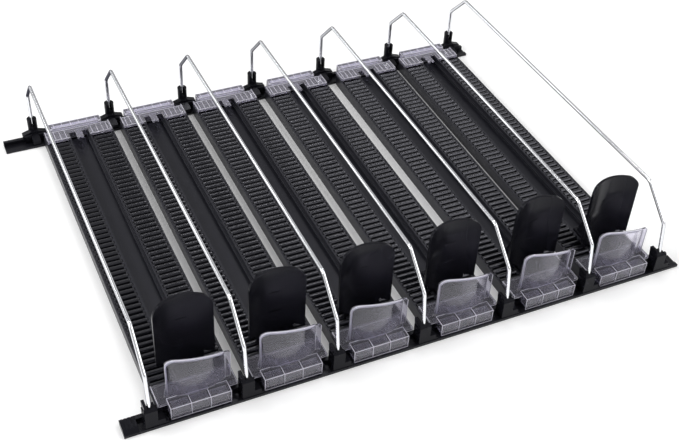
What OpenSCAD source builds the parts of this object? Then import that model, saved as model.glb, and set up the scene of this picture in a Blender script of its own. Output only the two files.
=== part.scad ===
// Six-lane roller organiser for drink cans, with sprung pushers and wire dividers.
// X runs along the two rails, -Y is the front where cans are taken, Z is up.
// The origin is the middle of the whole footprint, on the surface it stands on.

/* [Lanes] */
// Room beside track 1, half of it on each side
gap_1 = 10.5; // [8.5:0.5:30]
// Room beside track 2
gap_2 = 10; // [8.5:0.5:30]
// Room beside track 3
gap_3 = 10; // [8.5:0.5:30]
// Room beside track 4
gap_4 = 12; // [8.5:0.5:30]
// Room beside track 5
gap_5 = 15; // [8.5:0.5:30]
// Room beside track 6
gap_6 = 8.5; // [8.5:0.5:30]

/* [Rails] */
// Depth of a rail, front to back
rail_depth = 14; // [12:0.5:18]
// Height of a rail's rear ridge
rail_height = 5; // [4:0.25:7]
// Height of a rail's front lip
rail_lip_height = 2.4; // [2:0.1:3.5]
// Depth of a rail's front lip
rail_lip_depth = 4; // [3:0.25:5]
// Depth of a rail's rear ridge
rail_ridge_depth = 3.5; // [2.5:0.25:4.5]
// Thickness of a rail under its groove
rail_web = 1.5; // [1:0.1:2]
// Front rail beyond divider 1, end plug included
front_overhang_left = 21; // [18:0.5:40]
// Front rail beyond divider 7
front_overhang_right = 21; // [19:0.5:40]
// Back rail beyond divider 1
back_overhang_left = 29.5; // [15:0.5:45]
// Back rail beyond divider 7
back_overhang_right = 15; // [13:0.5:45]
// Length of the plug in the front rail's left end
plug_length = 11.5; // [6:0.5:13]
// Length that the front rail's ridge stops short of its right end
ridge_cut = 5.5; // [0:0.5:8]

/* [Tracks] */
// Width of one track
track_width = 63.5; // [58:0.5:80]
// Height of a track's walls
track_height = 10.3; // [9:0.1:12]
// Thickness of a track's floor
track_floor = 1.3; // [1:0.1:2]
// Thickness of a track's walls
track_wall = 1.4; // [1.2:0.1:2]
// Width of the middle channel that a pusher runs in
channel_width = 18.4; // [16:0.2:20]
// Width of the channel between its two holding lips
channel_lip_gap = 14.8; // [13:0.2:15.4]

/* [Rollers] */
// Distance from roller to roller
roller_pitch = 6; // [5.5:0.1:8]
// Diameter of a roller
roller_diameter = 4.8; // [4:0.1:5.2]
// Height of the rollers' tops over the surface
roller_top = 10.8; // [10.6:0.1:12.6]
// Width of a side bar of a roller ladder
ladder_bar = 1.5; // [1:0.1:2]

/* [Dividers] */
// Diameter of the divider wire
wire_diameter = 3.2; // [2.5:0.1:4]
// Distance between a divider's two legs
wire_depth = 373.5; // [360:0.5:400]
// Height of the wire's long straight run
wire_top = 73; // [60:0.5:95]
// Height where the legs bend towards the top
wire_shoulder = 48; // [40:0.5:55]
// Reach of the slanted part behind the front leg
wire_front_slope = 33; // [25:0.5:45]
// Reach of the slanted part before the rear leg
wire_rear_slope = 24.5; // [15:0.5:40]
// Lean of the front leg from foot to shoulder
wire_front_lean = 4; // [0:0.25:6]
// Inside radius of the wire's bends
wire_bend_radius = 4; // [2.5:0.25:8]

/* [Front feet and rear holders] */
// Width of a front foot's body
foot_width = 9.6; // [8.8:0.2:10.4]
// Height of a foot's left ear
foot_height = 22.5; // [20:0.5:28]
// Height of its front wall
foot_front = 20.5; // [18:0.5:26]
// Height of its right ear
foot_right = 19.5; // [17.5:0.5:26]
// Height of the shelf on its right side
foot_shelf_top = 8.2; // [6:0.2:9.6]
// Diameter of a rear holder's post
post_diameter = 9; // [7.5:0.25:11]
// Height of the post
post_height = 22; // [19:0.5:30]
// Width across a rear holder's two arms
arm_span = 22.2; // [16:0.2:24]
// Height of the arms' ends
arm_top = 8.6; // [7:0.2:11]

/* [Front stops] */
// Height of a stop's curved plate where it is highest
stop_height = 50.5; // [40:0.5:65]
// Reach of the plate to the left of its lane's middle
stop_left = 21.4; // [18:0.2:24]
// Reach of the plate to the right
stop_right = 23.6; // [18:0.2:25]
// Radius of the plate's arched top edge
stop_arch = 54; // [48:1:120]
// Distance from the lane's middle to the arch's highest point, on the left
stop_apex = 10.5; // [0:0.5:12]
// Radius of the can that the plate hugs
can_radius = 36; // [33:0.5:40]
// Thickness of a stop's plate
stop_wall = 2.2; // [1.6:0.1:3]
// Radius of the plate's top left corner
stop_corner = 8; // [4:0.5:10]
// Width of the upright strip at the plate's right end
strip_width = 4.9; // [3:0.1:6]
// Height of the strip
strip_height = 39; // [30:0.5:39.5]
// Width of the box that a stop stands on
stop_base_width = 46.5; // [40:0.5:48]
// Height of that box
stop_base_height = 14; // [12.5:0.25:16]
// Thickness of the covers over the rollers' ends
cover_thickness = 1.8; // [1.2:0.1:2.4]
// Depth of the front cover over the rollers
front_cover_depth = 19.2; // [15:0.1:23]
// Depth of the rear cover over the rollers
rear_cover_depth = 12.5; // [8:0.5:16]
// Height of the block behind a rear cover
cap_height = 12.7; // [12.2:0.1:16]

/* [Pushers] */
// Width of a pusher's paddle
pusher_width = 45.4; // [38:0.2:50]
// Height of a pusher over the surface
pusher_height = 82; // [65:0.5:100]
// Thickness of the paddle
pusher_wall = 2.2; // [1.6:0.1:3]
// Radius of the paddle's top corners
pusher_corner = 8; // [3:0.5:10]
// Radius of the paddle's arched top edge
pusher_arch = 110; // [60:1:200]
// Height that the paddle's two sides end over its foot
paddle_lift = 11.4; // [6:0.2:16]
// Width of the paddle's foot
paddle_foot = 24; // [20:0.5:30]
// Length of the carriage that runs in the channel
carriage_length = 36; // [32:0.5:45]
// Width of the spring band
band_width = 9; // [6:0.5:11]

/* [Hidden] */
$fn = 72;

// Colours of the four materials
black = [0.07, 0.07, 0.08];
dark = [0.13, 0.13, 0.14];
clear = [0.85, 0.87, 0.92, 0.35];
steel = [0.75, 0.76, 0.78];

// Clearance between pieces that move past each other
slack = 0.4;
// A cut runs this far past the face it opens
over = 1;

// Positions along the rails, from divider 1
gaps = [gap_1, gap_2, gap_3, gap_4, gap_5, gap_6];
pitches = [for (gap = gaps) track_width + gap];
function divider_at(i) = i == 0 ? 0 : divider_at(i - 1) + pitches[i - 1];
// How far each track stands to the right in the room it has beside the narrowest lane's
lean = [1, 0, 0, 0.85, 0.8, 0];
function lane_shift(i) = lean[i] * (gaps[i] - min(gaps)) / 2;
function lane_at(i) = (divider_at(i) + divider_at(i + 1)) / 2 + lane_shift(i);
last_divider = divider_at(6);

// Positions front to back, from the front legs of the dividers
front_rail_y = -5;
rear_leg_gap = 3;
back_rail_y = wire_depth - rail_depth - rear_leg_gap;
track_start = front_rail_y + rail_depth + 0.5;
track_end = back_rail_y - 0.5;
cover_front = track_start - 4.7;
cover_back = cover_front + front_cover_depth;
cap_front = track_end - rear_cover_depth;

// The footprint's middle
left_end = -max(front_overhang_left, back_overhang_left);
right_end = last_divider + max(front_overhang_right, back_overhang_right);
post_back = wire_depth + post_diameter / 2;
middle_x = (left_end + right_end) / 2;
middle_y = (front_rail_y + post_back) / 2;

// Heights inside a track
lip_low = 4.7;
lip_high = 6;
axle_height = roller_top - roller_diameter / 2;

// Rollers between the front and the rear cover
roller_span = cap_front - cover_back;
roller_count = floor(roller_span / roller_pitch);
roller_inner = channel_width / 2 + track_wall;
roller_outer = track_width / 2 - track_wall;

// The pusher's rest place, just behind the front cover
carriage_front = cover_back + slack;
paddle_front = carriage_front + 6.1;
paddle_bottom = roller_top + 0.6;

// The rail's groove ends where its ridge starts
ridge_y = rail_depth - rail_ridge_depth;
plug_groove = 0.8;

// Small features of the tracks
keyhole_diameter = 5;
keyhole_y = cap_front - 5.5;
keyhole_depth = 0.5;
band_anchor = 2.5;
band_thickness = 0.3;
first_roller = cover_back + (roller_span - (roller_count - 1) * roller_pitch) / 2;

// Where the paddle's and the stop's curves have their centres
paddle_height = pusher_height - paddle_bottom;
paddle_centre = paddle_front - sqrt(pow(can_radius, 2) - pow(pusher_width / 2, 2));
paddle_back = paddle_centre + can_radius + pusher_wall;

// The paddle's corners touch its sides and its arch from inside
corner_x = pusher_width / 2 - pusher_corner;
corner_z = paddle_height - pusher_arch + sqrt(pow(pusher_arch - pusher_corner, 2) - pow(corner_x, 2));
arch_end = corner_x * pusher_arch / (pusher_arch - pusher_corner) - 0.5;

stop_centre = front_rail_y + 9.6 + can_radius + stop_wall;
stop_radius = can_radius + stop_wall;
left_end_y = stop_centre - sqrt(pow(stop_radius, 2) - pow(stop_left, 2));
right_end_y = stop_centre - sqrt(pow(stop_radius, 2) - pow(stop_right, 2));
strip_wall = 1.5;
strip_inset = 0.2;

// The plate's top left corner touches its side and its arch from inside
plate_height = stop_height - track_height;
stop_corner_x = stop_corner - stop_left;
stop_corner_z = plate_height - stop_arch
  + sqrt(pow(stop_arch - stop_corner, 2) - pow(stop_corner_x + stop_apex, 2));
stop_arch_from = (stop_corner_x + stop_apex) * stop_arch / (stop_arch - stop_corner) - stop_apex + 0.5;

// The housing of the spring coil, and the ribs beside it
coil_diameter = 18;
coil_width = 9;
coil_y = paddle_back + coil_diameter / 2 - 1;
coil_z = paddle_bottom + 3;
rib_x = 7;

// The stop's box on the front rail, in three cells
stop_front = front_rail_y + 2;
stop_back = front_rail_y + rail_depth - 1;
cell_width = (stop_base_width - 4 * stop_wall) / 3;
cover_width = track_width - 2;
rim = 1.2;

// The rear cap, as wide as the arms of the holders beside it leave room for
rear_cap_width = min(pitches) - arm_span - 2 * slack;
cap_mid = back_rail_y + 2.5;
cap_back = back_rail_y + rail_depth;
cap_notch = 11;
cap_step = 1.6;
cap_shelf = 6;
tab_width = 6;

// Front feet and rear holders
foot_inset = 0.5;
foot_seat = 16;
foot_shelf = min(pitches) / 2 - stop_base_width / 2 - foot_width / 2 - slack;
foot_shelf_back = 9.2;
foot_step = 2.2;
foot_step_top = 4.8;
ear_width = 2.2;
ear_x = 3.1;
arm_depth = 5.5;
arm_slope = 2.4;
grip_width = 7.2;
wire_play = 0.1;
leg_low = 12.5;
leg_in_foot = 10.5;

// The wire's path in its own plane, from the foot of its front leg to the rear one
bend_line = wire_bend_radius + wire_diameter / 2;
wire_lap = 0.2;
wire_swell = 0.02;
leg_angle = atan2(wire_shoulder - foot_height, wire_front_lean);
wire_path = [
  [-leg_in_foot * cos(leg_angle), foot_height - leg_in_foot * sin(leg_angle)],
  [wire_front_lean, wire_shoulder],
  [wire_front_slope, wire_top],
  [wire_depth - wire_rear_slope, wire_top],
  [wire_depth, wire_shoulder],
  [wire_depth, leg_low]
];

module place(x = 0) {
  translate([x - middle_x, -middle_y, 0]) children();
}

// A solid from a YZ outline, centred on X
module along_x(length) {
  rotate([90, 0, 90]) linear_extrude(height = length, center = true) children();
}

// A solid from an XZ outline, from y = 0 to y = length
module along_y(length) {
  translate([0, length, 0]) rotate([90, 0, 0]) linear_extrude(height = length) children();
}

// Rails

module rail_outline() {
  polygon([
    [0, 0],
    [rail_depth, 0],
    [rail_depth, rail_height],
    [ridge_y, rail_height],
    [ridge_y, rail_web],
    [rail_lip_depth, rail_web],
    [rail_lip_depth, rail_lip_height],
    [0, rail_lip_height]
  ]);
}

module rail(from, to, y) {
  translate([(from + to) / 2, y, 0]) along_x(to - from) rail_outline();
}

module plug() {
  difference() {
    along_x(plug_length) polygon([
      [0, 0],
      [rail_depth, 0],
      [rail_depth, rail_height],
      [rail_lip_depth, rail_height],
      [0, rail_lip_height]
    ]);
    for (i = [-1:1])
      translate([i * plug_length / 4, rail_depth / 2, rail_height + plug_groove / 2])
        cube([plug_groove, rail_depth + 2 * over, 2 * plug_groove], center = true);
  }
}

// Tracks

module track_outline() {
  translate([-track_width / 2, 0]) square([track_width, track_floor]);
  for (side = [-1, 1]) scale([side, 1]) {
    translate([roller_outer, 0]) square([track_wall, track_height]);
    translate([channel_width / 2, 0]) square([track_wall, track_height]);
    translate([channel_lip_gap / 2, lip_low])
      square([(channel_width - channel_lip_gap) / 2 + track_wall, lip_high - lip_low]);
  }
}

module trough_end(y) {
  for (side = [-1, 1])
    translate([side * (roller_inner + roller_outer) / 2, y, track_height / 2])
      cube([roller_outer - roller_inner + track_wall, track_wall, track_height], center = true);
}

// A shallow keyhole-shaped recess in the channel's floor
module keyhole() {
  translate([0, keyhole_y, track_floor - keyhole_depth]) {
    cylinder(d = keyhole_diameter, h = track_floor);
    translate([-keyhole_diameter / 4, 0, 0])
      cube([keyhole_diameter / 2, 2 * keyhole_diameter, track_floor]);
  }
}

module track(i) {
  place(lane_at(i)) {
    difference() {
      translate([0, track_start, 0]) along_y(track_end - track_start) track_outline();
      keyhole();
    }
    trough_end(track_start + track_wall / 2);
    trough_end(track_end - track_wall / 2);
    translate([0, track_start + band_anchor / 2, track_floor + band_anchor / 2])
      cube([channel_width, band_anchor, band_anchor], center = true);
  }
}

// Rollers

module roller_ladder() {
  length = roller_outer - roller_inner;
  bar_height = axle_height - track_floor + 1;
  translate([roller_inner + length / 2, 0, 0]) {
    for (side = [-1, 1])
      translate([side * (length - ladder_bar) / 2, cover_back - 1, track_floor])
        translate([-ladder_bar / 2, 0, 0]) cube([ladder_bar, roller_span + 2, bar_height]);
    for (n = [0:roller_count - 1])
      translate([0, first_roller + n * roller_pitch, axle_height])
        rotate([0, 90, 0])
          cylinder(d = roller_diameter, h = length - ladder_bar, center = true);
  }
}

module roller_bed(i) {
  place(lane_at(i)) {
    roller_ladder();
    mirror([1, 0, 0]) roller_ladder();
  }
}

// Pushers

// The paddle seen from the front: an arched top edge that runs into round corners
module paddle_outline() {
  translate([-pusher_width / 2, paddle_lift]) square([pusher_width, corner_z - paddle_lift]);
  translate([-paddle_foot / 2, 0]) square([paddle_foot, paddle_lift + over]);
  for (side = [-1, 1]) translate([side * corner_x, corner_z]) circle(r = pusher_corner);
  intersection() {
    translate([0, paddle_height - pusher_arch]) circle(r = pusher_arch, $fn = 180);
    translate([-arch_end, 0]) square([2 * arch_end, paddle_height + over]);
  }
}

module paddle() {
  intersection() {
    translate([0, paddle_centre, 0]) difference() {
      cylinder(r = can_radius + pusher_wall, h = pusher_height + over, $fn = 180);
      translate([0, 0, -over]) cylinder(r = can_radius, h = pusher_height + 3 * over, $fn = 180);
    }
    translate([0, paddle_centre, paddle_bottom]) along_y(2 * can_radius) paddle_outline();
  }
}

module paddle_rib() {
  translate([rib_x, paddle_back - 1.2, paddle_bottom - 1])
    along_x(pusher_wall) polygon([[0, 0], [17, 0], [17, 4], [1.7, 46], [0, 46]]);
}

// The carriage's outline across the channel: a tongue under the track's lips, a neck
// between them and a saddle over them
module carriage_outline() {
  half_neck = channel_lip_gap / 2 - slack;
  half_tongue = channel_width / 2 - slack;
  tongue_top = lip_low - slack;
  tongue_bottom = track_floor + 2 * band_thickness;
  saddle_bottom = lip_high + slack;
  saddle_top = paddle_bottom + 1;
  polygon([
    [-half_tongue, tongue_bottom],
    [half_tongue, tongue_bottom],
    [half_tongue, tongue_top],
    [half_neck, tongue_top],
    [half_neck, saddle_bottom],
    [half_tongue, saddle_bottom],
    [half_tongue, saddle_top],
    [-half_tongue, saddle_top],
    [-half_tongue, saddle_bottom],
    [-half_neck, saddle_bottom],
    [-half_neck, tongue_top],
    [-half_tongue, tongue_top]
  ]);
}

module carriage() {
  translate([0, carriage_front, 0]) along_y(carriage_length) carriage_outline();
  // The round housing of the spring coil, and the block that joins it to the paddle
  translate([0, coil_y, coil_z]) rotate([0, 90, 0])
    cylinder(d = coil_diameter, h = coil_width, center = true);
  translate([-coil_width / 2 - 1, paddle_back - 1.5, paddle_bottom])
    cube([coil_width + 2, coil_y - paddle_back, coil_diameter / 2]);
}

module pusher(i) {
  place(lane_at(i)) {
    paddle();
    carriage();
    for (side = [-1, 1]) scale([side, 1, 1]) paddle_rib();
  }
}

module spring_band(i) {
  place(lane_at(i))
    translate([-band_width / 2, track_start + band_anchor, track_floor])
      cube([band_width, coil_y - track_start - band_anchor, band_thickness]);
}

// Front stops

// The plate seen from the front: a left side, a round corner and an arched top edge that
// falls towards the right
module stop_outline() {
  intersection() {
    translate([-stop_apex, plate_height - stop_arch]) circle(r = stop_arch, $fn = 180);
    union() {
      translate([stop_arch_from, 0]) square([stop_right - stop_arch_from, plate_height + over]);
      translate([-stop_left, 0]) square([stop_left + stop_arch_from + over, stop_corner_z]);
      translate([stop_corner_x, stop_corner_z]) circle(r = stop_corner);
    }
  }
}

module stop_plate() {
  intersection() {
    translate([0, stop_centre, 0]) difference() {
      cylinder(r = stop_radius, h = stop_height + over, $fn = 180);
      translate([0, 0, -over]) cylinder(r = can_radius, h = stop_height + 3 * over, $fn = 180);
    }
    translate([0, stop_centre - 2 * can_radius, track_height]) along_y(2 * can_radius) stop_outline();
  }
}

// The flat upright strip at the plate's right end, with a round top corner
module stop_strip() {
  height = strip_height - track_height - cover_thickness / 2;
  translate([stop_right - over, right_end_y + strip_inset, track_height + cover_thickness / 2])
    along_y(strip_wall) {
      square([strip_width + over - strip_width / 2, height]);
      square([strip_width + over, height - strip_width / 2]);
      translate([strip_width / 2 + over, height - strip_width / 2]) circle(d = strip_width);
    }
}

// A cover over the rollers' ends with a raised rim on both sides
module cover(front, back) {
  height = track_height + cover_thickness / 2;
  translate([0, (front + back) / 2, height])
    cube([cover_width, back - front, cover_thickness], center = true);
  for (side = [-1, 1])
    translate([side * (cover_width - rim) / 2, (front + back) / 2, height + rim / 2])
      cube([rim, back - front, cover_thickness + rim], center = true);
}

module stop_box() {
  depth = stop_back - stop_front;
  difference() {
    translate([-stop_base_width / 2, stop_front, rail_height])
      cube([stop_base_width, depth, stop_base_height - rail_height]);
    for (n = [-1:1])
      translate([n * (cell_width + stop_wall) - cell_width / 2, stop_front + stop_wall, rail_height - over])
        cube([cell_width, depth - 2 * stop_wall, stop_base_height - rail_height - stop_wall + over]);
  }
  // The front wall's lower edge, standing on the rail's lip
  translate([-stop_base_width / 2, stop_front, rail_lip_height])
    cube([stop_base_width, front_rail_y + rail_lip_depth - stop_front, rail_height - rail_lip_height]);
}

module stop(i) {
  place(lane_at(i)) {
    stop_box();
    cover(cover_front, cover_back);
    stop_plate();
    stop_strip();
    // Rear rim of the cover
    translate([-cover_width / 2, cover_back - rim, track_height])
      cube([cover_width, rim, cover_thickness + rim / 2]);
    // Small web between the plate's left end and the cover
    translate([-stop_left, left_end_y + strip_inset, track_height])
      along_y(strip_wall) polygon([[1, 1], [-2.5, 1], [-2.5, 2], [0, 14], [1, 14]]);
  }
}

// Rear caps

// The raised hollow block that stands on the back rail, with a step along its top
module cap_block() {
  front = cap_mid - stop_wall;
  height = cap_height - rail_height;
  hollow_width = rear_cap_width - 2 * stop_wall;
  difference() {
    translate([-rear_cap_width / 2, front, rail_height])
      cube([rear_cap_width, cap_back - front, height]);
    translate([-hollow_width / 2, cap_mid, rail_height - over])
      cube([hollow_width, cap_back - cap_mid - stop_wall, height - stop_wall + over]);
    translate([-rear_cap_width / 2 - over, front - over, cap_height - cap_step])
      cube([rear_cap_width + 2 * over, cap_shelf + over, 2 * cap_step]);
  }
  // Its front wall's lower edge, standing on the rail's lip
  translate([-rear_cap_width / 2, front, rail_lip_height])
    cube([rear_cap_width, stop_wall, rail_height - rail_lip_height]);
}

module cap(i) {
  place(lane_at(i)) {
    difference() {
      cover(cap_front, cap_mid);
      translate([0, cap_front, track_height])
        cube([channel_width, 2 * cap_notch, 6 * cover_thickness], center = true);
    }
    // Front rims over the rollers' ends
    for (side = [-1, 1]) scale([side, 1, 1])
      translate([channel_width / 2, cap_front, track_height])
        cube([(cover_width - channel_width) / 2, rim, cover_thickness + rim / 2]);
    cap_block();
    // Tab with a notch over the channel
    difference() {
      translate([-tab_width / 2, cap_front - 1, track_height])
        cube([tab_width, cap_mid - cap_front, cover_thickness]);
      translate([0, cap_front - 1, track_height])
        cube([tab_width / 3, tab_width / 2, 6 * cover_thickness], center = true);
    }
  }
}

// Dividers

// Angle of the line from point a to point b
function heading(a, b) = atan2(b[1] - a[1], b[0] - a[0]);
// Length that a bend takes from each of its two straight runs
function bend_trim(p, n) = n <= 0 || n >= len(p) - 1 ? 0
  : bend_line * tan((heading(p[n - 1], p[n]) - heading(p[n], p[n + 1])) / 2);

// A straight run, which goes a short way into the bends at its ends
module wire_run(p, n) {
  from = max(bend_trim(p, n) - wire_lap, 0);
  to = norm(p[n + 1] - p[n]) - max(bend_trim(p, n + 1) - wire_lap, 0);
  translate(p[n]) rotate([0, 0, heading(p[n], p[n + 1])])
    translate([from, 0, 0]) rotate([0, 90, 0])
      cylinder(d = wire_diameter, h = to - from);
}

// A bend, a hair thicker than the runs that end in it
module wire_bend(p, n) {
  in = heading(p[n - 1], p[n]);
  out = heading(p[n], p[n + 1]);
  translate(p[n]) rotate([0, 0, in]) translate([-bend_trim(p, n), -bend_line, 0])
    rotate([0, 0, 90 + out - in]) rotate_extrude(angle = in - out)
      translate([bend_line, 0]) circle(d = wire_diameter + wire_swell);
}

module divider(i) {
  place(divider_at(i)) rotate([90, 0, 90]) {
    for (n = [0:len(wire_path) - 2]) wire_run(wire_path, n);
    for (n = [1:len(wire_path) - 2]) wire_bend(wire_path, n);
  }
}

// Front feet

// The body stands in the rail's groove, with a wall in front of the wire
module foot_outline() {
  polygon([
    [foot_inset, rail_lip_height],
    [rail_lip_depth, rail_lip_height],
    [rail_lip_depth, rail_web],
    [ridge_y, rail_web],
    [ridge_y, foot_seat],
    [3.4, foot_seat],
    [3.4, foot_front],
    [foot_inset + 1, foot_front],
    [foot_inset, foot_front - 1.5]
  ]);
}

// A wall beside the wire, which leans back as the wire does
module foot_ear(x, top, front, back) {
  translate([x, 0, 0]) along_x(ear_width) polygon([
    [front, foot_seat - 6],
    [front, top - 2],
    [front + 1.2, top],
    [back - 0.9, top],
    [back, top - 1],
    [back - 1.8, foot_seat - 6]
  ]);
}

// The low shelf on the body's right side, from the body's middle to its own end
module foot_side_shelf(length, top) {
  translate([length / 2, 0, 0]) along_x(length) polygon([
    [foot_inset, rail_lip_height],
    [rail_lip_depth, rail_lip_height],
    [rail_lip_depth, rail_web],
    [foot_shelf_back, rail_web],
    [foot_shelf_back, top],
    [foot_inset, top]
  ]);
}

module foot(i) {
  place(divider_at(i)) difference() {
    translate([0, front_rail_y, 0]) {
      along_x(foot_width) foot_outline();
      foot_ear(-ear_x, foot_height, 2, 12.2);
      foot_ear(ear_x, foot_right, 2.6, 10.2);
      foot_side_shelf(foot_width / 2 + foot_shelf - foot_step, foot_shelf_top);
      foot_side_shelf(foot_width / 2 + foot_shelf, foot_step_top);
    }
    leg_bore();
  }
}

// The hole that the leaning front leg stands in
module leg_bore() {
  rotate([90, 0, 90]) translate(wire_path[0]) rotate([0, 0, leg_angle]) rotate([0, 90, 0])
    cylinder(d = wire_diameter + 2 * wire_play, h = leg_in_foot + 4);
}

// Rear holders

// The grip that fills the back rail's groove, under the arms
module holder_grip() {
  along_x(grip_width) polygon([
    [1, rail_lip_height],
    [rail_lip_depth, rail_lip_height],
    [rail_lip_depth, rail_web],
    [ridge_y, rail_web],
    [ridge_y, rail_height],
    [rail_depth, rail_height],
    [rail_depth, arm_top],
    [ridge_y, arm_top],
    [1, rail_height + 1]
  ]);
}

// Two arms on the rail's ridge, with tops that slope down from the post
module holder_arms() {
  half_post = post_diameter / 2 - over;
  along_y(arm_depth) polygon([
    [-arm_span / 2, rail_height],
    [arm_span / 2, rail_height],
    [arm_span / 2, arm_top],
    [half_post, arm_top + arm_slope],
    [-half_post, arm_top + arm_slope],
    [-arm_span / 2, arm_top]
  ]);
}

// The round post, which stands on the ridge and on the surface behind the rail
module holder_post() {
  difference() {
    cylinder(d = post_diameter, h = post_height);
    translate([-post_diameter, -post_diameter - rear_leg_gap, -over])
      cube([2 * post_diameter, post_diameter, rail_height + over]);
  }
}

module holder(i) {
  place(divider_at(i)) difference() {
    union() {
      translate([0, back_rail_y, 0]) holder_grip();
      translate([0, back_rail_y + ridge_y, 0]) holder_arms();
      translate([0, wire_depth, 0]) holder_post();
    }
    translate([0, wire_depth, leg_low])
      cylinder(d = wire_diameter + 2 * wire_play, h = post_height);
    // The slot that the wire snaps in through
    translate([-wire_diameter / 2 - wire_play, wire_depth - post_diameter, post_height - 7])
      cube([wire_diameter + 2 * wire_play, post_diameter, post_height]);
  }
}

// One module for each sub-part

module front_rail() {
  color(dark) place() difference() {
    rail(plug_length - front_overhang_left, last_divider + front_overhang_right, front_rail_y);
    translate([last_divider + front_overhang_right - ridge_cut, front_rail_y + ridge_y - over, rail_web])
      cube([ridge_cut + over, rail_ridge_depth + 2 * over, rail_height]);
  }
}
module back_rail() {
  color(dark) place()
    rail(-back_overhang_left, last_divider + back_overhang_right, back_rail_y);
}
module end_plug() {
  color(black) place(plug_length / 2 - front_overhang_left) translate([0, front_rail_y, 0]) plug();
}
module track_1() { color(dark) track(0); }
module track_2() { color(dark) track(1); }
module track_3() { color(dark) track(2); }
module track_4() { color(dark) track(3); }
module track_5() { color(dark) track(4); }
module track_6() { color(dark) track(5); }
module rollers_1() { color(black) roller_bed(0); }
module rollers_2() { color(black) roller_bed(1); }
module rollers_3() { color(black) roller_bed(2); }
module rollers_4() { color(black) roller_bed(3); }
module rollers_5() { color(black) roller_bed(4); }
module rollers_6() { color(black) roller_bed(5); }
module pusher_1() { color(black) pusher(0); }
module pusher_2() { color(black) pusher(1); }
module pusher_3() { color(black) pusher(2); }
module pusher_4() { color(black) pusher(3); }
module pusher_5() { color(black) pusher(4); }
module pusher_6() { color(black) pusher(5); }
module spring_1() { color(steel) spring_band(0); }
module spring_2() { color(steel) spring_band(1); }
module spring_3() { color(steel) spring_band(2); }
module spring_4() { color(steel) spring_band(3); }
module spring_5() { color(steel) spring_band(4); }
module spring_6() { color(steel) spring_band(5); }
module stop_1() { color(clear) stop(0); }
module stop_2() { color(clear) stop(1); }
module stop_3() { color(clear) stop(2); }
module stop_4() { color(clear) stop(3); }
module stop_5() { color(clear) stop(4); }
module stop_6() { color(clear) stop(5); }
module cap_1() { color(clear) cap(0); }
module cap_2() { color(clear) cap(1); }
module cap_3() { color(clear) cap(2); }
module cap_4() { color(clear) cap(3); }
module cap_5() { color(clear) cap(4); }
module cap_6() { color(clear) cap(5); }
module divider_1() { color(steel) divider(0); }
module divider_2() { color(steel) divider(1); }
module divider_3() { color(steel) divider(2); }
module divider_4() { color(steel) divider(3); }
module divider_5() { color(steel) divider(4); }
module divider_6() { color(steel) divider(5); }
module divider_7() { color(steel) divider(6); }
module holder_1() { color(black) holder(0); }
module holder_2() { color(black) holder(1); }
module holder_3() { color(black) holder(2); }
module holder_4() { color(black) holder(3); }
module holder_5() { color(black) holder(4); }
module holder_6() { color(black) holder(5); }
module holder_7() { color(black) holder(6); }
module foot_1() { color(black) foot(0); }
module foot_2() { color(black) foot(1); }
module foot_3() { color(black) foot(2); }
module foot_4() { color(black) foot(3); }
module foot_5() { color(black) foot(4); }
module foot_6() { color(black) foot(5); }
module foot_7() { color(black) foot(6); }

front_rail();
back_rail();
end_plug();
track_1();
track_2();
track_3();
track_4();
track_5();
track_6();
rollers_1();
rollers_2();
rollers_3();
rollers_4();
rollers_5();
rollers_6();
pusher_1();
pusher_2();
pusher_3();
pusher_4();
pusher_5();
pusher_6();
spring_1();
spring_2();
spring_3();
spring_4();
spring_5();
spring_6();
stop_1();
stop_2();
stop_3();
stop_4();
stop_5();
stop_6();
cap_1();
cap_2();
cap_3();
cap_4();
cap_5();
cap_6();
divider_1();
divider_2();
divider_3();
divider_4();
divider_5();
divider_6();
divider_7();
holder_1();
holder_2();
holder_3();
holder_4();
holder_5();
holder_6();
holder_7();
foot_1();
foot_2();
foot_3();
foot_4();
foot_5();
foot_6();
foot_7();
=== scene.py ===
"""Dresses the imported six-lane roller organiser for drink cans: materials, small moulded
details, a white floor, soft studio light and the photograph's camera. Lengths are in metres,
unless a comment says otherwise."""

import math

import bmesh
import bpy
from mathutils import Matrix, Vector


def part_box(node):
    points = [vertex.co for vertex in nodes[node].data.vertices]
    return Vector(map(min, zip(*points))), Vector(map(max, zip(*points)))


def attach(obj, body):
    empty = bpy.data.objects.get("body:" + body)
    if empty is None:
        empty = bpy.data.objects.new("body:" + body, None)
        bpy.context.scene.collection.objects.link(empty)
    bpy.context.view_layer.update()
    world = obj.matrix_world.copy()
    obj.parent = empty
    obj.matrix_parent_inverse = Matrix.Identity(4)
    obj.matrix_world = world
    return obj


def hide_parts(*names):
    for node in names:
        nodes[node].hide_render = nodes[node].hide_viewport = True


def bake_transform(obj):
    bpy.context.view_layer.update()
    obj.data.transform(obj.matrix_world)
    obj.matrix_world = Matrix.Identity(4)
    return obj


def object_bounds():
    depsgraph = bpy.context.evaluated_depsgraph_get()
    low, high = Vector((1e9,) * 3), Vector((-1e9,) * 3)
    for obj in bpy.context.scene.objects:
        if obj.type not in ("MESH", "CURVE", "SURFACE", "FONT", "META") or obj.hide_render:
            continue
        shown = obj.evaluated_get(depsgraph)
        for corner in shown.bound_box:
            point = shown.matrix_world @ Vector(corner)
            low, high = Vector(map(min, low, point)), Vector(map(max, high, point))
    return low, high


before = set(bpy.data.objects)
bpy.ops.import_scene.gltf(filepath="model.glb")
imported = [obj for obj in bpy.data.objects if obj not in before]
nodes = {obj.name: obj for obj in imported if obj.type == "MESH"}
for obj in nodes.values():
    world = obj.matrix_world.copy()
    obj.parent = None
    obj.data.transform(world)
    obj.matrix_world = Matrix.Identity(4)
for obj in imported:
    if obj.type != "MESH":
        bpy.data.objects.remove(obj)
cad_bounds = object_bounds()

LANES = sum(name.startswith("track_") for name in nodes)
SHELF = "shelf"
UP = Vector((0, 0, 1))
BACKWARD = Vector((0, 1, 0))

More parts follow.
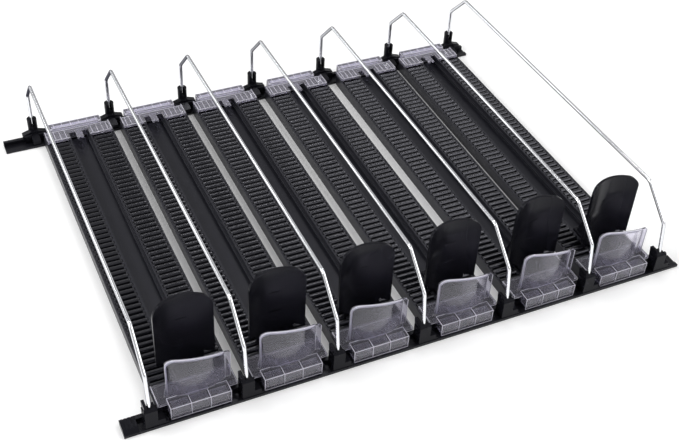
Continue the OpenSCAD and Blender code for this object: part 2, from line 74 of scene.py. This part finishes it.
# Roller beds: the rollers' pitch, the bars' lap past the rollers, a bed's inner and outer
# face from the lane's middle, a bar's width, and a slack that keeps whole counts whole
ROLLER_PITCH = 0.006
LADDER_LAP = 0.001
ROLLERS_INNER = 0.0106
ROLLERS_OUTER = 0.03035
BAR = 0.0015
COUNT_SLACK = 1e-6

# Teeth on the bars, with bevelled tops
TOOTH = 0.0026
TOOTH_FOOT = 0.009
TOOTH_TOP = 0.0103
TOOTH_BEVEL_WIDTH = 0.0005
TOOTH_BEVEL_HEIGHT = 0.0004

# Stop plates: their curve and outline, from the lane's middle and the front rail's front
PLATE_CENTRE = 0.0478
PLATE_RADIUS = 0.0371
PLATE_LEFT = 0.0214
PLATE_RIGHT = 0.0236
PLATE_FOOT = 0.0125
PLATE_TOP = 0.0505
PLATE_ARCH = 0.054
PLATE_APEX = 0.0105
PLATE_CORNER = 0.008

# The bead on a plate's edge; the turn of a step round the corner is in degrees
RIM_RADIUS = 0.0009
RIM_INSET = 0.6 * RIM_RADIUS
RIM_LIFT = 0.001
RIM_SIDES = 8
CORNER_STEPS = 6
CORNER_TURN = 13
ARCH_STEPS = 24
ARCH_START = 0.0012
ARCH_END = 0.0004

# A stop's ribbed box, roller covers and side strip, from the lane's middle and the front
# rail's front
STOP_BEAD = 0.00032
BEAD_SIDES = 6
BOX_HALF = 0.0231
BOX_RIB = 0.0074
BOX_LIP = 0.0021
BOX_FRONT = 0.0022
BOX_BACK = 0.0128
BOX_FOOT = 0.0027
BOX_TOP = 0.0139
COVER_INNER = 0.0234
COVER_OUTER = 0.0302
COVER_FRONT = 0.0099
COVER_BACK = 0.0289
COVER_LOW = 0.0105
COVER_STEP = 0.0106
COVER_TOP = 0.0132
STRIP_SIDES = (0.0241, 0.0282)
STRIP_FRONT = 0.0179
STRIP_FOOT = 0.0120
STRIP_TOP = 0.0375

# A rear cap's block, cover and cross ribs, from the lane's middle and the back rail's front
CAP_BEAD = 0.00028
BLOCK_HALF = 0.0243
BLOCK_FRONT = 0.0064
BLOCK_BACK = 0.0138
BLOCK_TOP = 0.0126
BLOCK_RIBS = (0.0040, 0.0122, 0.0200)
CAP_LIP = -0.0124
CAP_LIP_TOP = 0.0126
CAP_LIP_INNER = 0.0094
CAP_LIP_OUTER = 0.0304
CAP_SIDE = 0.0302
CAP_SIDE_FRONT = -0.0128
CAP_SIDE_BACK = 0.0023
CAP_SIDE_TOP = 0.0132
CROSS_RIBS = (0.0125, 0.0175, 0.0225, 0.0270)
CROSS_RIB_FRONT = -0.0118
CROSS_RIB_BACK = 0.0016
CROSS_RIB_TOP = 0.0121

# Pushers: the paddle's back from the carriage's front, then what stands behind it, in
# lengths from the paddle's back and the lane's middle
PADDLE_BACK = 0.01636
GUSSET_OFFSET = 0.0036
GUSSET_WALL = 0.0014
GUSSET_OUTLINE = (
    (-0.0014, 0.018), (0.0085, 0.0205), (0.006, 0.030), (-0.0005, 0.052), (-0.0014, 0.052),
)
BRACE_WALL = 0.0014
BRACE_HEIGHTS = (0.038, 0.058)
BRACE_OUTLINE = ((-0.0115, -0.0026), (-0.0072, 0.0006), (0.0072, 0.0006), (0.0115, -0.0026))
COIL_BEHIND = 0.008
COIL_HEIGHT = 0.0144

# Hubs of the coil: radius and reach of each disc, out of the housing's side faces
HUB_DISCS = ((0.0062, 0.0007), (0.0024, 0.0012))
HUB_FACE = 0.0045
HUB_SINK = 0.0001
HUB_SIDES = 32

# Spring bands: their section's corners, as shares of half the width
BAND_THICKNESS = 0.0002
BAND_SHARES = (-1, -0.5, 0, 0.5, 1)
BAND_STEPS = 48

# Skirts of the rear holders: place from the back rail's front, outline from the middle
SKIRT_FRONT = 0.0079
SKIRT_DEPTH = 0.0026
SKIRT_OUTLINE = ((0.0030, 0.0016), (0.0096, 0.0016), (0.0102, 0.0086), (0.0030, 0.0096))

# Colours: an edge of black plastic is painted lighter than its flats by the edge factor, a
# painted highlight, and the steel's lines are noise drawn out along the lane
COOL_GLINT = (0.90, 0.90, 1.0, 1)
PAINTED_EDGE_HIGHLIGHT = 2.2
CHROME_BRIGHT = (0.88, 0.89, 0.92)
# The wire's dark side colour is painted shade, standing for the dark surroundings a real wire
# mirrors at its sides.
CHROME_PAINTED_SHADE = (0.2, 0.2, 0.22)
STEEL_GREY = (0.42, 0.43, 0.45, 1)
STEEL_LINES = (1, 0.02, 1)
CLEAR_TINT = (0.80, 0.78, 0.90)
# Pale edge colour of clear plastic: a painted highlight.
CLEAR_EDGE_HIGHLIGHT = (0.95, 0.95, 0.99)
WHITE = (1, 1, 1, 1)

# Heights between which a clear piece's haze goes over from one value to the other
HAZE_HEIGHTS = (0.018, 0.045)

# Floor and surroundings; the sky's and backdrop's ranges are sines of the angle above level
FLOOR_REACH = 8.0
FLOOR_GAP = 0.0002
FLOOR_WHITE = (0.97, 0.97, 0.97, 1)
FLOOR_LIFT = 0.08
SKY_LOW = 0.15
SKY_HIGH = 0.5
SKY_RISE = (0.1, 0.7)
BACKDROP_FADE = (0.25, 0.45)

# Photograph, in pixels
PHOTO_WIDTH = 679
FOCAL_PIXELS = 1107.5

# Camera: its angles in degrees and its sensor in millimetres
CAMERA_PLACE = Vector((-0.3317, -0.6960, 0.6405))
CAMERA_AZIMUTH = -26.585
CAMERA_ELEVATION = 40.681
CAMERA_ROLL = 3.41
CAMERA_NEAR = 0.05
CAMERA_FAR = 50
SENSOR_WIDTH = 36.0


# Materials

def new_material(name):
    material = bpy.data.materials.new(name)
    material.use_nodes = True
    return material, material.node_tree


def shader_of(tree):
    return next(node for node in tree.nodes if node.type == "BSDF_PRINCIPLED")


def noise(tree, scale, stretch=(1, 1, 1)):
    """Noise in object coordinates, in features per metre."""
    place = tree.nodes.new("ShaderNodeTexCoord")
    mapping = tree.nodes.new("ShaderNodeMapping")
    mapping.inputs["Scale"].default_value = stretch
    texture = tree.nodes.new("ShaderNodeTexNoise")
    texture.inputs["Scale"].default_value = scale
    texture.inputs["Detail"].default_value = 2.0
    tree.links.new(place.outputs["Object"], mapping.inputs["Vector"])
    tree.links.new(mapping.outputs["Vector"], texture.inputs["Vector"])
    return texture.outputs["Fac"]


def spread(tree, value, low, high, start=0.3, end=0.7):
    """A value from low to high as the given one goes from start to end. Start and end
    are set for noise, if they aren't given."""
    ranged = tree.nodes.new("ShaderNodeMapRange")
    ranged.inputs["From Min"].default_value = start
    ranged.inputs["From Max"].default_value = end
    ranged.inputs["To Min"].default_value = low
    ranged.inputs["To Max"].default_value = high
    tree.links.new(value, ranged.inputs["Value"])
    return ranged.outputs["Result"]


def combine(tree, operation, first, second):
    """Two values put together by a math node's operation."""
    node = tree.nodes.new("ShaderNodeMath")
    node.operation = operation
    tree.links.new(first, node.inputs[0])
    tree.links.new(second, node.inputs[1])
    return node.outputs["Value"]


def height_of(tree, place):
    """The third part of a place or a direction."""
    parts = tree.nodes.new("ShaderNodeSeparateXYZ")
    tree.links.new(place, parts.inputs["Vector"])
    return parts.outputs["Z"]


def mix_colour(tree, share, first, second):
    """The first colour where the share is 0, the second where it is 1."""
    mix = tree.nodes.new("ShaderNodeMix")
    mix.data_type = "RGBA"
    mix.inputs["A"].default_value = (*first, 1)
    mix.inputs["B"].default_value = (*second, 1)
    tree.links.new(share, mix.inputs["Factor"])
    return mix.outputs["Result"]


def rounded_normal(tree, radius):
    """The surface's normal with its edges rounded off."""
    node = tree.nodes.new("ShaderNodeBevel")
    node.samples = 4
    node.inputs["Radius"].default_value = radius
    return node.outputs["Normal"]


def edge_mask(tree, rounded, start, end):
    """1 along the edges, 0 on the flats."""
    geometry = tree.nodes.new("ShaderNodeNewGeometry")
    product = tree.nodes.new("ShaderNodeVectorMath")
    product.operation = "DOT_PRODUCT"
    tree.links.new(geometry.outputs["Normal"], product.inputs[0])
    tree.links.new(rounded, product.inputs[1])
    return spread(tree, product.outputs["Value"], 1.0, 0.0, start, end)


def set_roughness(tree, grain, low, high):
    """A finish that wanders between two roughnesses."""
    tree.links.new(spread(tree, grain, low, high), shader_of(tree).inputs["Roughness"])


def set_bump(tree, grain, strength, distance, normal=None):
    """A fine relief on the given normal, or on the surface's own."""
    node = tree.nodes.new("ShaderNodeBump")
    node.inputs["Strength"].default_value = strength
    node.inputs["Distance"].default_value = distance
    tree.links.new(grain, node.inputs["Height"])
    if normal:
        tree.links.new(normal, node.inputs["Normal"])
    tree.links.new(node.outputs["Normal"], shader_of(tree).inputs["Normal"])


def black_plastic(name, colour, specular, roughness, grain, depth):
    """Moulded black plastic: rounded edges painted slightly paler as a painted highlight, a fine
    grain, a varying gloss.
    """
    material, tree = new_material(name)
    shader = shader_of(tree)
    shader.inputs["IOR"].default_value = 1.5
    shader.inputs["Specular IOR Level"].default_value = specular
    shader.inputs["Specular Tint"].default_value = COOL_GLINT
    rounded = rounded_normal(tree, radius=0.0004)
    # Edges painted lighter than the flats: a painted highlight.
    painted_highlight = tuple(PAINTED_EDGE_HIGHLIGHT * part for part in colour)
    paint = mix_colour(tree, edge_mask(tree, rounded, start=0.7, end=0.98), colour, painted_highlight)
    tree.links.new(paint, shader.inputs["Base Color"])
    set_roughness(tree, noise(tree, scale=60), *roughness)
    set_bump(tree, noise(tree, scale=grain), strength=0.3, distance=depth, normal=rounded)
    return material


def chrome():
    """Bright wire: a light middle between two darker lines, painted shade that darkens the sides
    as they turn from the view.
    """
    material, tree = new_material("chrome_wire")
    shader = shader_of(tree)
    # The wire's sides are painted dark by how far they turn from the view: painted shade.
    turned = tree.nodes.new("ShaderNodeLayerWeight")
    turned.inputs["Blend"].default_value = 0.5
    sides = spread(tree, turned.outputs["Facing"], 0, 1, start=0.5, end=0.8)
    paint = mix_colour(tree, sides, CHROME_BRIGHT, CHROME_PAINTED_SHADE)
    tree.links.new(paint, shader.inputs["Base Color"])
    shader.inputs["Specular Tint"].default_value = (*CHROME_PAINTED_SHADE, 1)
    shader.inputs["Metallic"].default_value = 1.0
    set_roughness(tree, noise(tree, scale=90), low=0.07, high=0.14)
    return material


def rolled_steel():
    """Spring band: fine lines along the lane."""
    material, tree = new_material("spring_steel")
    shader = shader_of(tree)
    shader.inputs["Base Color"].default_value = STEEL_GREY
    shader.inputs["Metallic"].default_value = 1.0
    set_roughness(tree, noise(tree, scale=900, stretch=STEEL_LINES), low=0.28, high=0.42)
    lines = noise(tree, scale=1500, stretch=STEEL_LINES)
    set_bump(tree, lines, strength=0.2, distance=0.00003)
    return material


def clear_plastic(name, haze_below, haze_above):
    """Clear moulded plastic with a lilac tint, whose edges are painted paler and made less
    clear, a painted highlight. Its haze is one value below HAZE_HEIGHTS and the other above."""
    material, tree = new_material(name)
    shader = shader_of(tree)
    shader.inputs["IOR"].default_value = 1.49
    shader.inputs["Specular IOR Level"].default_value = 0.3
    rounded = rounded_normal(tree, radius=0.0005)
    edges = edge_mask(tree, rounded, start=0.75, end=0.98)
    # Edges painted paler and made less clear: a painted highlight.
    tree.links.new(mix_colour(tree, edges, CLEAR_TINT, CLEAR_EDGE_HIGHLIGHT), shader.inputs["Base Color"])
    height = height_of(tree, tree.nodes.new("ShaderNodeNewGeometry").outputs["Position"])
    clarity = spread(tree, height, 1 - haze_below, 1 - haze_above, *HAZE_HEIGHTS)
    dimming = spread(tree, edges, low=1.0, high=0.5, start=0, end=1)
    clarity = combine(tree, "MULTIPLY", clarity, dimming)
    tree.links.new(clarity, shader.inputs["Transmission Weight"])
    set_roughness(tree, noise(tree, scale=120), low=0.06, high=0.12)
    set_bump(tree, noise(tree, scale=60), strength=0.1, distance=0.00002, normal=rounded)
    return material


SATIN = black_plastic(
    "black_satin", colour=(0.015, 0.015, 0.0195), specular=0.33, roughness=(0.28, 0.38),
    grain=2600, depth=0.00003,
)
RAIL = black_plastic(
    "rail_black", colour=(0.005, 0.005, 0.007), specular=0.28, roughness=(0.24, 0.36),
    grain=2600, depth=0.00003,
)
GLOSS = black_plastic(
    "black_gloss", colour=(0.006, 0.006, 0.0085), specular=0.2, roughness=(0.14, 0.24),
    grain=1800, depth=0.00002,
)
CLIP = black_plastic(
    "clip_black", colour=(0.006, 0.006, 0.0082), specular=0.13, roughness=(0.2, 0.3),
    grain=2000, depth=0.00003,
)
ROLLER = black_plastic(
    "roller_black", colour=(0.003, 0.003, 0.0045), specular=0.65, roughness=(0.14, 0.2),
    grain=900, depth=0.00001,
)
CHROME = chrome()
STEEL = rolled_steel()
CLEAR = clear_plastic("clear_plastic", haze_below=0.08, haze_above=0.025)
CAP = clear_plastic("clear_cap", haze_below=0.16, haze_above=0.16)
# Nearly opaque, so the beads show pale: a painted highlight along the clear edges.
RIM_PAINTED_HIGHLIGHT = clear_plastic("pale_rim_painted_highlight", haze_below=0.8, haze_above=0.8)

FINISHES = {
    "front_rail": RAIL, "back_rail": RAIL, "end_plug": GLOSS, "track": SATIN,
    "rollers": ROLLER, "pusher": GLOSS, "spring": STEEL, "stop": CLEAR, "cap": CAP,
    "divider": CHROME, "holder": CLIP, "foot": CLIP,
}


def finish_for(name):
    """A node's material; the numbered nodes of a kind share one."""
    if name in FINISHES:
        return FINISHES[name]
    return FINISHES[name.rsplit("_", 1)[0]]


def dress_nodes():
    for name, obj in nodes.items():
        obj.data.materials.clear()
        obj.data.materials.append(finish_for(name))


# Solids and pieces

def skin(mesh, rings):
    """Closes a solid over rings of corners: a face at each end, and faces all round
    between each two rings."""
    mesh.faces.new(rings[0])
    mesh.faces.new(rings[-1][::-1])
    for before, after in zip(rings, rings[1:]):
        for corner in range(len(before)):
            following = (corner + 1) % len(before)
            mesh.faces.new((before[following], before[corner], after[corner], after[following]))


def prism(mesh, outline, along):
    """A closed solid: a flat outline, carried along a vector."""
    near = [mesh.verts.new(point) for point in outline]
    far = [mesh.verts.new(point + along) for point in outline]
    skin(mesh, [near, far])


def tube(mesh, path, radius, across, sides):
    """A round bead along a path; no part of the path runs along the vector across."""
    rings = []
    for n, point in enumerate(path):
        ahead = (path[min(n + 1, len(path) - 1)] - path[max(n - 1, 0)]).normalized()
        first = ahead.cross(across).normalized()
        second = ahead.cross(first)
        ring = []
        for side in range(sides):
            angle = 2 * math.pi * side / sides
            outward = first * math.cos(angle) + second * math.sin(angle)
            ring.append(mesh.verts.new(point + radius * outward))
        rings.append(ring)
    skin(mesh, rings)


def beads(corner, lines, radius):
    """Straight beads; each line is its two ends, from the corner."""
    mesh = bmesh.new()
    for start, end in lines:
        across = UP if start.z == end.z else BACKWARD
        tube(mesh, [corner + start, corner + end], radius, across, BEAD_SIDES)
    return mesh


def crossing(start, end, y, z):
    """A line from side to side."""
    return Vector((start, y, z)), Vector((end, y, z))


def running(x, front, back, z):
    """A line from front to back."""
    return Vector((x, front, z)), Vector((x, back, z))


def rising(x, y, foot, top):
    """An upright line."""
    return Vector((x, y, foot)), Vector((x, y, top))


def mesh_object(name, mesh, material, smooth=False):
    """An object with one material, from a mesh that is used up."""
    bmesh.ops.recalc_face_normals(mesh, faces=mesh.faces)
    data = bpy.data.meshes.new(name)
    mesh.to_mesh(data)
    mesh.free()
    for face in data.polygons:
        face.use_smooth = smooth
    data.materials.append(material)
    obj = bpy.data.objects.new(name, data)
    bpy.context.scene.collection.objects.link(obj)
    return obj


def new_piece(name, body, material, mesh, smooth=False):
    """A piece that rides on one body."""
    obj = mesh_object(name, mesh, material, smooth)
    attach(obj, body)


def lane_middle(lane):
    low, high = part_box(f"track_{lane}")
    return (low.x + high.x) / 2


# Small moulded details

def tooth_outline(x, y):
    """A tooth's outline at x, to both sides of y."""
    half = TOOTH / 2
    flat = half - TOOTH_BEVEL_WIDTH
    shoulder = TOOTH_TOP - TOOTH_BEVEL_HEIGHT
    corners = [
        (-half, TOOTH_FOOT), (half, TOOTH_FOOT), (half, shoulder),
        (flat, TOOTH_TOP), (-flat, TOOTH_TOP), (-half, shoulder),
    ]
    return [Vector((x, y + ahead, z)) for ahead, z in corners]


def roller_teeth(lane):
    """The scalloped walls beside the rollers: one tooth between each two axles."""
    low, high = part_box(f"rollers_{lane}")
    middle = lane_middle(lane)
    span = high.y - low.y - 2 * LADDER_LAP
    count = int(span / ROLLER_PITCH + COUNT_SLACK)
    first = low.y + LADDER_LAP + (span - (count - 1) * ROLLER_PITCH) / 2
    mesh = bmesh.new()
    for side in (-1, 1):
        for near in (ROLLERS_INNER, ROLLERS_OUTER - BAR):
            x = middle + min(side * near, side * (near + BAR))
            for tooth in range(count - 1):
                y = first + (tooth + 0.5) * ROLLER_PITCH
                prism(mesh, tooth_outline(x, y), Vector((BAR, 0, 0)))
    new_piece(f"roller_teeth_{lane}", SHELF, SATIN, mesh)


def arch_height(x, radius):
    """Height at x of an arc about the centre of a plate's arched top."""
    return PLATE_TOP - PLATE_ARCH + math.sqrt(radius ** 2 - (x + PLATE_APEX) ** 2)


def rim_outline():
    """A plate's left side, rounded corner and arched top, set in for the bead."""
    left = RIM_INSET - PLATE_LEFT
    corner_x = PLATE_CORNER - PLATE_LEFT
    corner_z = arch_height(corner_x, PLATE_ARCH - PLATE_CORNER)
    reach = PLATE_CORNER - RIM_INSET
    outline = [(left, PLATE_FOOT + RIM_LIFT), (left, corner_z)]
    for step in range(1, CORNER_STEPS + 1):
        angle = math.radians(180 - CORNER_TURN * step)
        outline.append((corner_x + reach * math.cos(angle), corner_z + reach * math.sin(angle)))
    start = corner_x + ARCH_START
    end = PLATE_RIGHT - ARCH_END
    for step in range(ARCH_STEPS + 1):
        x = start + (end - start) * step / ARCH_STEPS
        outline.append((x, arch_height(x, PLATE_ARCH) - RIM_INSET))
    return outline


def stop_rim(lane):
    """The rounded rim along the left side and the arched top of a stop's plate, in a pale,
    nearly opaque finish that is a painted highlight.
    """
    middle = lane_middle(lane)
    centre_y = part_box("front_rail")[0].y + PLATE_CENTRE
    path = []
    for x, z in rim_outline():
        y = centre_y - math.sqrt(PLATE_RADIUS ** 2 - x ** 2)
        path.append(Vector((middle + x, y, z)))
    mesh = bmesh.new()
    tube(mesh, path, RIM_RADIUS, BACKWARD, RIM_SIDES)
    new_piece(f"stop_rim_{lane}", SHELF, RIM_PAINTED_HIGHLIGHT, mesh, smooth=True)


def stop_edges(lane):
    """Moulded edges of a stop's box, covers and strip, made bright by a pale, nearly opaque
    finish: a painted highlight.
    """
    lines = [
        crossing(-BOX_HALF, BOX_HALF, BOX_LIP, BOX_FOOT),
        crossing(-BOX_HALF, BOX_HALF, BOX_FRONT, BOX_TOP),
        crossing(-BOX_HALF, BOX_HALF, BOX_BACK, BOX_TOP),
    ]
    for x in (-BOX_HALF, -BOX_RIB, BOX_RIB, BOX_HALF):
        lines.append(rising(x, BOX_FRONT, BOX_FOOT, BOX_TOP))
        lines.append(running(x, BOX_FRONT, BOX_BACK, BOX_TOP))
    for side in (-1, 1):
        outer = side * COVER_OUTER
        lines.append(running(outer, COVER_FRONT, COVER_BACK, COVER_TOP))
        lines.append(rising(outer, COVER_FRONT, COVER_LOW, COVER_TOP))
        lines.append(crossing(outer, side * COVER_INNER, COVER_FRONT, COVER_STEP))
    for x in STRIP_SIDES:
        lines.append(rising(x, STRIP_FRONT, STRIP_FOOT, STRIP_TOP))
    corner = Vector((lane_middle(lane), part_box("front_rail")[0].y, 0))
    mesh = beads(corner, lines, STOP_BEAD)
    new_piece(f"stop_edges_{lane}", SHELF, RIM_PAINTED_HIGHLIGHT, mesh, smooth=True)


def cap_edges(lane):
    """Moulded edges and fine cross ribs of a rear cap, made bright by a pale, nearly opaque
    finish: a painted highlight.
    """
    lines = [
        crossing(-BLOCK_HALF, BLOCK_HALF, BLOCK_BACK, BLOCK_TOP),
        crossing(-BLOCK_HALF, BLOCK_HALF, BLOCK_FRONT, BLOCK_TOP),
        crossing(-CAP_SIDE, CAP_SIDE, CROSS_RIB_BACK, CROSS_RIB_TOP),
    ]
    for side in (-1, 1):
        lines.append(crossing(side * CAP_LIP_INNER, side * CAP_LIP_OUTER, CAP_LIP, CAP_LIP_TOP))
        lines.append(running(side * CAP_SIDE, CAP_SIDE_FRONT, CAP_SIDE_BACK, CAP_SIDE_TOP))
        lines.append(running(side * BLOCK_HALF, BLOCK_FRONT, BLOCK_BACK, BLOCK_TOP))
        for x in CROSS_RIBS:
            lines.append(running(side * x, CROSS_RIB_FRONT, CROSS_RIB_BACK, CROSS_RIB_TOP))
        for x in BLOCK_RIBS:
            lines.append(running(side * x, BLOCK_FRONT, BLOCK_BACK, BLOCK_TOP))
    corner = Vector((lane_middle(lane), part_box("back_rail")[0].y, 0))
    mesh = beads(corner, lines, CAP_BEAD)
    new_piece(f"cap_edges_{lane}", SHELF, RIM_PAINTED_HIGHLIGHT, mesh, smooth=True)


def paddle_back(lane):
    """How far back a paddle's rear face stands."""
    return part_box(f"pusher_{lane}")[0].y + PADDLE_BACK


def pusher_back(lane):
    """Two gussets and two cross braces behind a paddle."""
    middle = lane_middle(lane)
    back = paddle_back(lane)
    mesh = bmesh.new()
    for side in (-1, 1):
        x = middle + side * GUSSET_OFFSET - GUSSET_WALL / 2
        outline = [Vector((x, back + behind, z)) for behind, z in GUSSET_OUTLINE]
        prism(mesh, outline, Vector((GUSSET_WALL, 0, 0)))
    for z in BRACE_HEIGHTS:
        outline = [Vector((middle + x, back + behind, z)) for x, behind in BRACE_OUTLINE]
        prism(mesh, outline, Vector((0, 0, BRACE_WALL)))
    new_piece(f"pusher_back_{lane}", f"pusher_body_{lane}", GLOSS, mesh)


def coil_hubs(lane):
    """A stepped hub on each side of a pusher's coil housing."""
    centre = Vector((lane_middle(lane), paddle_back(lane) + COIL_BEHIND, COIL_HEIGHT))
    mesh = bmesh.new()
    for side in (-1, 1):
        for radius, reach in HUB_DISCS:
            start = centre + Vector((side * (HUB_FACE - HUB_SINK), 0, 0))
            end = centre + Vector((side * (HUB_FACE + reach), 0, 0))
            tube(mesh, [start, end], radius, UP, HUB_SIDES)
    new_piece(f"coil_hubs_{lane}", f"pusher_body_{lane}", ROLLER, mesh)


def spring_band(lane):
    """The slightly dished flat run of a spring, from its anchor at the front of the
    channel to the pusher's housing."""
    low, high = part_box(f"spring_{lane}")
    middle = (low + high) / 2
    half = (high.x - low.x) / 2
    dish = high.z - low.z - BAND_THICKNESS
    section = [(share * half, low.z + dish * share * share) for share in BAND_SHARES]
    section += [(x, z + BAND_THICKNESS) for x, z in reversed(section)]
    mesh = bmesh.new()
    rings = []
    for step in range(BAND_STEPS + 1):
        y = low.y + (high.y - low.y) * step / BAND_STEPS
        rings.append([mesh.verts.new((middle.x + x, y, z)) for x, z in section])
    skin(mesh, rings)
    band = mesh_object(f"spring_run_{lane}", mesh, STEEL)
    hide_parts(f"spring_{lane}")
    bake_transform(band)


def holder_skirts(number):
    """The lower walls of a rear holder's arms, in front of the rail's ridge."""
    low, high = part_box(f"holder_{number}")
    middle = (low.x + high.x) / 2
    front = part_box("back_rail")[0].y + SKIRT_FRONT
    mesh = bmesh.new()
    for side in (-1, 1):
        outline = [Vector((middle + side * x, front, z)) for x, z in SKIRT_OUTLINE]
        prism(mesh, outline, Vector((0, SKIRT_DEPTH, 0)))
    new_piece(f"holder_skirts_{number}", SHELF, CLIP, mesh)


def add_details():
    for lane in range(1, LANES + 1):
        roller_teeth(lane)
        stop_rim(lane)
        stop_edges(lane)
        cap_edges(lane)
        pusher_back(lane)
        coil_hubs(lane)
        spring_band(lane)
    for number in range(1, LANES + 2):
        holder_skirts(number)


# Floor, light and camera

def seen_directly(tree):
    """1 for camera, glossy and transmission rays, else 0."""
    path = tree.nodes.new("ShaderNodeLightPath").outputs
    seen = combine(tree, "MAXIMUM", path["Is Camera Ray"], path["Is Glossy Ray"])
    return combine(tree, "MAXIMUM", seen, path["Is Transmission Ray"])


def white_floor():
    """A white floor that keeps shadows, a little brighter for the rays that see it."""
    mesh = bpy.data.meshes.new("floor")
    corners = [
        (-FLOOR_REACH, -FLOOR_REACH, 0), (FLOOR_REACH, -FLOOR_REACH, 0),
        (FLOOR_REACH, FLOOR_REACH, 0), (-FLOOR_REACH, FLOOR_REACH, 0),
    ]
    mesh.from_pydata(corners, [], [(0, 1, 2, 3)])
    floor = bpy.data.objects.new("floor", mesh)
    bpy.context.scene.collection.objects.link(floor)
    material, tree = new_material("floor")
    shader = shader_of(tree)
    shader.inputs["Base Color"].default_value = FLOOR_WHITE
    shader.inputs["Roughness"].default_value = 0.7
    shader.inputs["Specular IOR Level"].default_value = 0.0
    shader.inputs["Emission Color"].default_value = WHITE
    lift = spread(tree, seen_directly(tree), 0.0, FLOOR_LIFT, start=0, end=1)
    tree.links.new(lift, shader.inputs["Emission Strength"])
    mesh.materials.append(material)
    floor.location.z = cad_bounds[0].z - FLOOR_GAP


def studio_world():
    """A studio that is brighter overhead, with a white backdrop low down for the rays
    that see it."""
    world = bpy.data.worlds.new("studio")
    world.use_nodes = True
    tree = world.node_tree
    background = next(node for node in tree.nodes if node.type == "BACKGROUND")
    height = height_of(tree, tree.nodes.new("ShaderNodeTexCoord").outputs["Generated"])
    sky = spread(tree, height, SKY_LOW, SKY_HIGH, *SKY_RISE)
    low = spread(tree, height, 1.0, 0.0, *BACKDROP_FADE)
    backdrop = combine(tree, "MULTIPLY", low, seen_directly(tree))
    tree.links.new(combine(tree, "MAXIMUM", sky, backdrop), background.inputs["Strength"])
    background.inputs["Color"].default_value = WHITE
    bpy.context.scene.world = world


def softbox(name, place, width, height, power):
    """A rectangular light, aimed at the origin. It doesn't show through clear pieces."""
    light = bpy.data.lights.new(name, "AREA")
    light.shape = "RECTANGLE"
    light.size = width
    light.size_y = height
    light.energy = power
    obj = bpy.data.objects.new(name, light)
    obj.location = place
    obj.rotation_mode = "QUATERNION"
    obj.rotation_quaternion = (-Vector(place)).to_track_quat("-Z", "Y")
    obj.visible_transmission = False
    bpy.context.scene.collection.objects.link(obj)


def studio_light():
    """Key from the left, wide fill from the right, and two lights behind: one for the
    rollers' highlights, one for the wires'."""
    softbox("key_light", place=(-1.5, 0.1, 1.3), width=1.6, height=0.5, power=21)
    softbox("fill_light", place=(1.6, -1.1, 1.5), width=2.0, height=1.6, power=22)
    softbox("roller_light", place=(0.65, 0.6, 1.75), width=1.3, height=0.12, power=7)
    softbox("wire_light", place=(-0.75, 1.3, 1.05), width=0.5, height=0.4, power=2.2)


def photo_camera():
    """The photograph's camera, turned by azimuth, elevation and roll."""
    azimuth = math.radians(CAMERA_AZIMUTH)
    elevation = math.radians(CAMERA_ELEVATION)
    roll = math.radians(CAMERA_ROLL)
    back = Vector((
        math.sin(azimuth) * math.cos(elevation),
        -math.cos(azimuth) * math.cos(elevation),
        math.sin(elevation),
    ))
    level_right = (-back).cross(UP).normalized()
    level_up = level_right.cross(-back)
    right = level_right * math.cos(roll) + level_up * math.sin(roll)
    up = level_up * math.cos(roll) - level_right * math.sin(roll)
    data = bpy.data.cameras.new("photo_camera")
    data.sensor_fit = "HORIZONTAL"
    data.sensor_width = SENSOR_WIDTH
    data.lens = FOCAL_PIXELS / PHOTO_WIDTH * SENSOR_WIDTH
    data.clip_start = CAMERA_NEAR
    data.clip_end = CAMERA_FAR
    camera = bpy.data.objects.new("photo_camera", data)
    turn = Matrix((right, up, back)).transposed().to_4x4()
    camera.matrix_world = Matrix.Translation(CAMERA_PLACE) @ turn
    bpy.context.scene.collection.objects.link(camera)
    bpy.context.scene.camera = camera


bpy.context.scene.view_settings.view_transform = "Standard"
dress_nodes()
add_details()
white_floor()
studio_world()
studio_light()
photo_camera()
